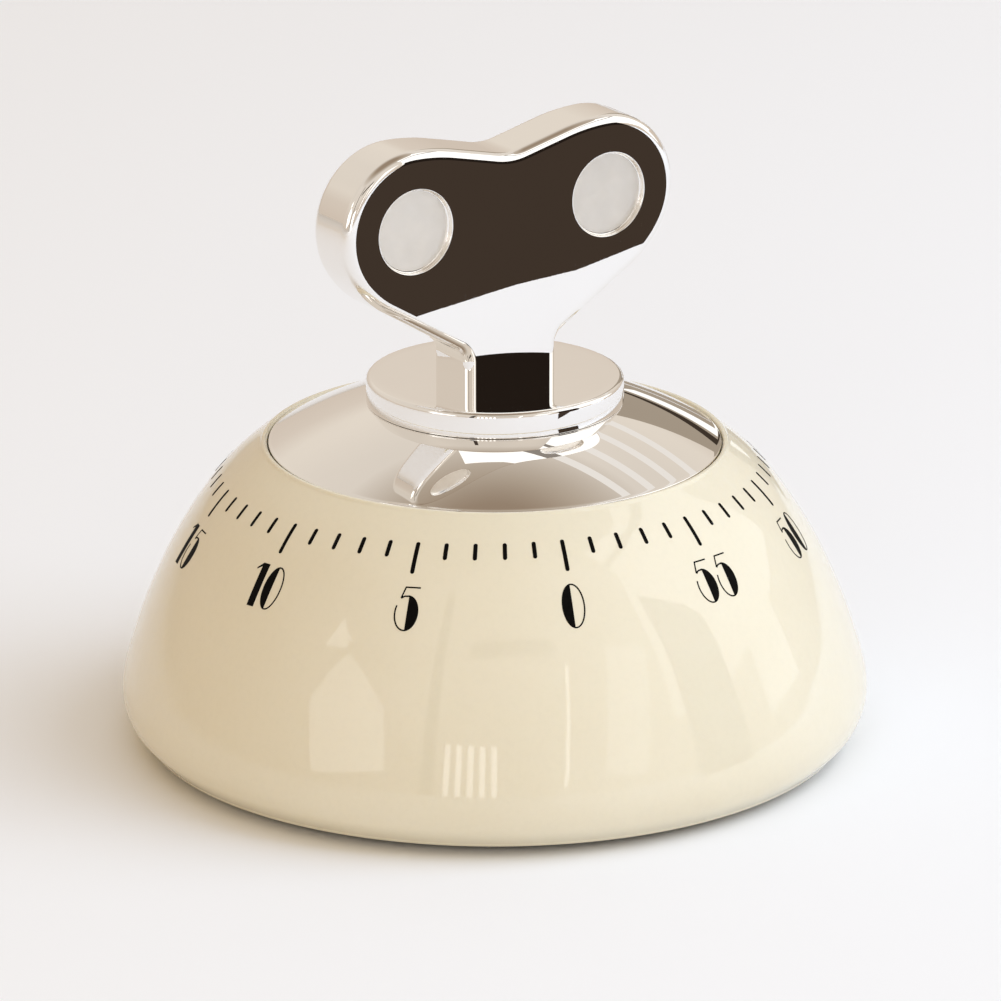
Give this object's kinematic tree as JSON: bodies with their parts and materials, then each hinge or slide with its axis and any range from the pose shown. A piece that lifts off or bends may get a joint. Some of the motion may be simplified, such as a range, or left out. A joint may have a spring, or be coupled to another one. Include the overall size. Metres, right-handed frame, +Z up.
{
  "type": "kitchen timer",
  "caption": "Wind-up mechanical kitchen timer: glossy cream dome dial with a convex chrome top plate and a chrome butterfly key on a round flange, driving a spring going train and bell.",
  "frame": {"origin": "centre of the round foot, on the surface the timer stands on", "axes": "+Z up along the spindle; -Y towards the dial's zero mark; +X to the right when facing the zero mark"},
  "size_m": [0.076, 0.076, 0.0643],
  "materials": {
    "cream_gloss": "high gloss",
    "chrome": "mirror polish",
    "dark_plastic": "matte",
    "rubber": "matte",
    "zinc_steel": "satin",
    "brass": "satin",
    "blue_steel": "blued",
    "bell_steel": "polished"
  },
  "bodies": {
    "housing": {"dome_shell": "cream_gloss", "top_plate": "chrome", "base_cover": "dark_plastic", "foot_ring": "rubber", "cover_screw_1": "zinc_steel", "cover_screw_2": "zinc_steel", "cover_screw_3": "zinc_steel", "lower_movement_plate": "zinc_steel", "upper_movement_plate": "zinc_steel", "movement_pillar_1": "zinc_steel", "movement_pillar_2": "zinc_steel", "movement_pillar_3": "zinc_steel", "mainspring": "blue_steel", "bell": "bell_steel", "bell_post": "zinc_steel", "bell_nut": "zinc_steel", "hammer_post": "zinc_steel"},
    "key": {"winding_key": "chrome", "key_flange": "chrome", "key_spindle": "zinc_steel", "main_wheel": "brass", "trip_cam": "zinc_steel"},
    "second_wheel_set": {"second_wheel": "brass", "second_arbor": "zinc_steel"},
    "third_wheel_set": {"third_wheel": "brass", "third_arbor": "zinc_steel"},
    "escape_wheel_set": {"escape_wheel": "brass", "escape_arbor": "zinc_steel"},
    "balance": {"balance_wheel": "brass", "balance_staff": "zinc_steel", "pallet_verge": "zinc_steel"},
    "hammer": {"hammer_lever": "zinc_steel", "hammer_head": "brass", "hammer_spring": "blue_steel"}
  },
  "joints": [
    {"name": "key_turn", "type": "hinge", "parent": "housing", "child": "key", "pos_m": [0, 0, 0.038], "axis": [0, 0, -1], "range_deg": [-70, 290]},
    {"name": "second_wheel_turn", "type": "hinge", "parent": "housing", "child": "second_wheel_set", "pos_m": [0.01746, 0.01008, 0.01], "axis": [0, 0, -1], "continuous": true},
    {"name": "third_wheel_turn", "type": "hinge", "parent": "housing", "child": "third_wheel_set", "pos_m": [0.00728, 0.0197, 0.012], "axis": [0, 0, -1], "continuous": true},
    {"name": "escape_wheel_turn", "type": "hinge", "parent": "housing", "child": "escape_wheel_set", "pos_m": [-0.00224, 0.02088, 0.014], "axis": [0, 0, -1], "continuous": true},
    {"name": "balance_swing", "type": "hinge", "parent": "housing", "child": "balance", "pos_m": [-0.01034, 0.01828, 0.017], "axis": [0, 0, -1], "range_deg": [-8, 8]},
    {"name": "hammer_swing", "type": "hinge", "parent": "housing", "child": "hammer", "pos_m": [0.008, 0.009, 0.022], "axis": [0, 0, 1], "range_deg": [-8, 4], "stiffness_Nm_per_rad": 0.0005}
  ],
  "couplings": [
    {"joint": "second_wheel_turn", "follows": "key_turn", "ratio": -6},
    {"joint": "third_wheel_turn", "follows": "key_turn", "ratio": 36},
    {"joint": "escape_wheel_turn", "follows": "key_turn", "ratio": -180}
  ]
}
